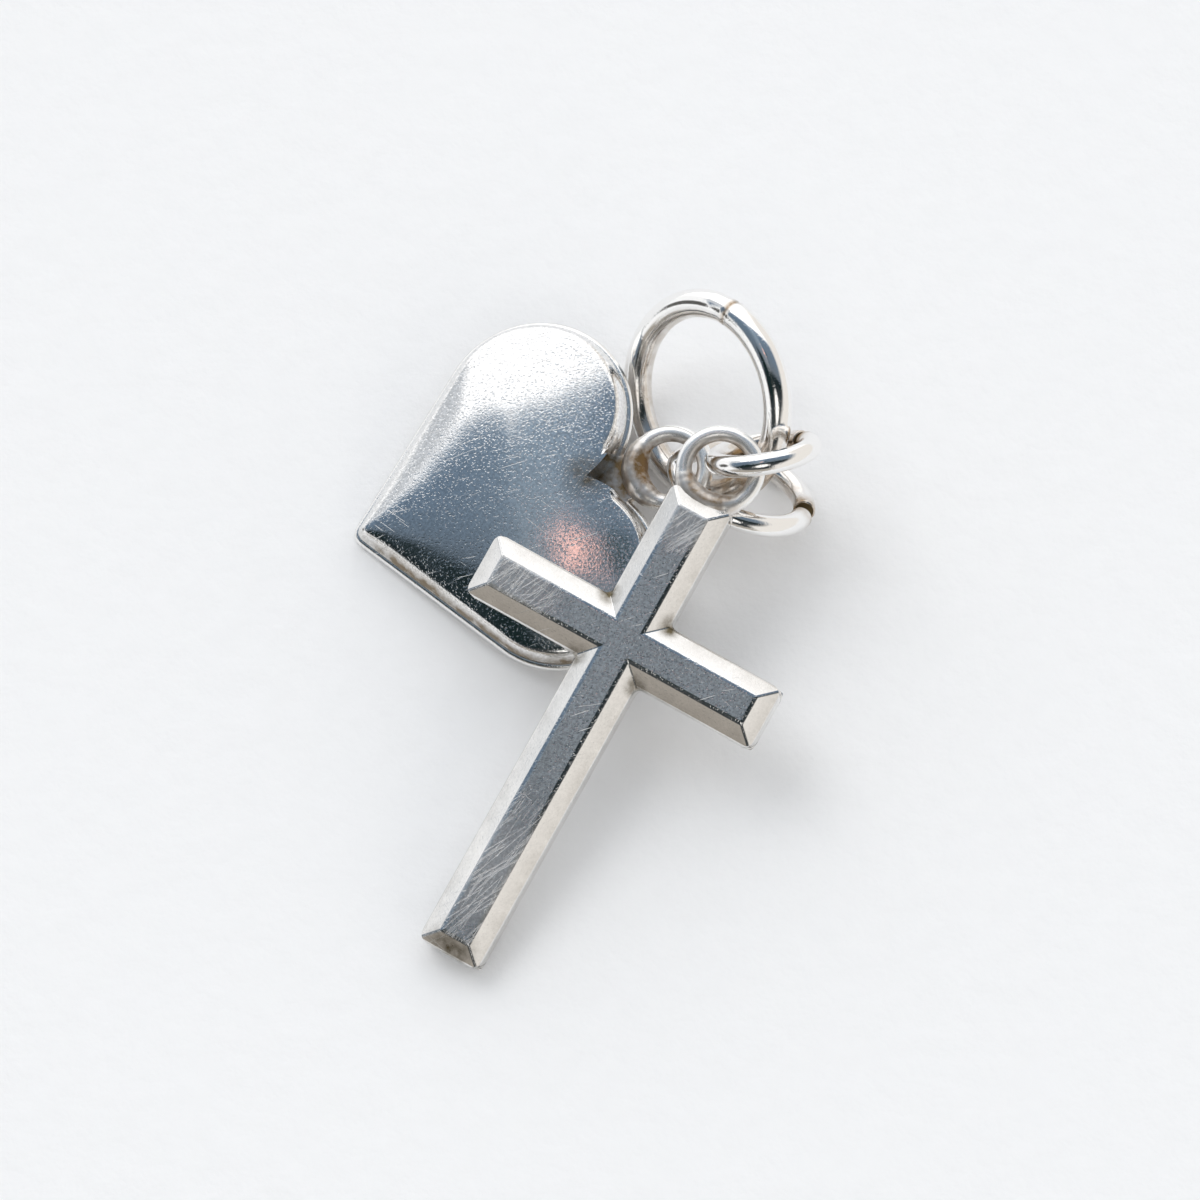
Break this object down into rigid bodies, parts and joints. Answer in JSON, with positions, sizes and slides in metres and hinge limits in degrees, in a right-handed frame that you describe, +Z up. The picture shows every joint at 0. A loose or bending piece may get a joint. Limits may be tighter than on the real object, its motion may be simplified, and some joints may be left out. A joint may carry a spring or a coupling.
{
  "type": "heart and cross pendant",
  "caption": "Charm pendant lying flat: a hollow puffed heart and a bevelled cross, each swinging on an open jump ring from one round bail ring that a neck chain runs through.",
  "frame": {"origin": "on the table, under the middle of the pendant's bounding box", "axes": "+Z up from the table, +Y towards the bail ring end, +X to the viewer's right"},
  "size_m": [0.0178, 0.026, 0.0072],
  "materials": {
    "silver": "polished silver with fine wear scratches and a little brown tarnish in the recesses",
    "dulled_silver": "polished silver wire, slightly dulled, brown at the cut ends and solder joints"
  },
  "bodies": {
    "bail_ring": {"bail_ring": "silver"},
    "cross_jump_ring": {"cross_jump_ring": "dulled_silver"},
    "cross": {"cross_body": "silver", "cross_loop": "dulled_silver"},
    "heart_jump_ring": {"heart_jump_ring": "dulled_silver"},
    "heart": {"heart_front": "silver", "heart_back": "silver", "heart_loop": "dulled_silver"}
  },
  "joints": [
    {"name": "cross_ring_swing", "type": "hinge", "parent": "bail_ring", "child": "cross_jump_ring", "pos_m": [0.00672, 0.00615, 0.00518], "axis": [-0.1669, 0.8387, 0.5184], "range_deg": [0, 80]},
    {"name": "cross_swing", "type": "hinge", "parent": "cross_jump_ring", "child": "cross", "pos_m": [0.00508, 0.00533, 0.00565], "axis": [-0.1039, -0.2095, 0.9723], "range_deg": [-80, 50]},
    {"name": "heart_ring_swing", "type": "hinge", "parent": "bail_ring", "child": "heart_jump_ring", "pos_m": [0.00564, 0.00561, 0.00251], "axis": [0.6627, -0.0125, 0.7487], "range_deg": [0, 25]},
    {"name": "heart_swing", "type": "hinge", "parent": "heart_jump_ring", "child": "heart", "pos_m": [0.00354, 0.00661, 0.00262], "axis": [-0.1156, -0.7189, 0.6855], "range_deg": [0, 30]}
  ]
}
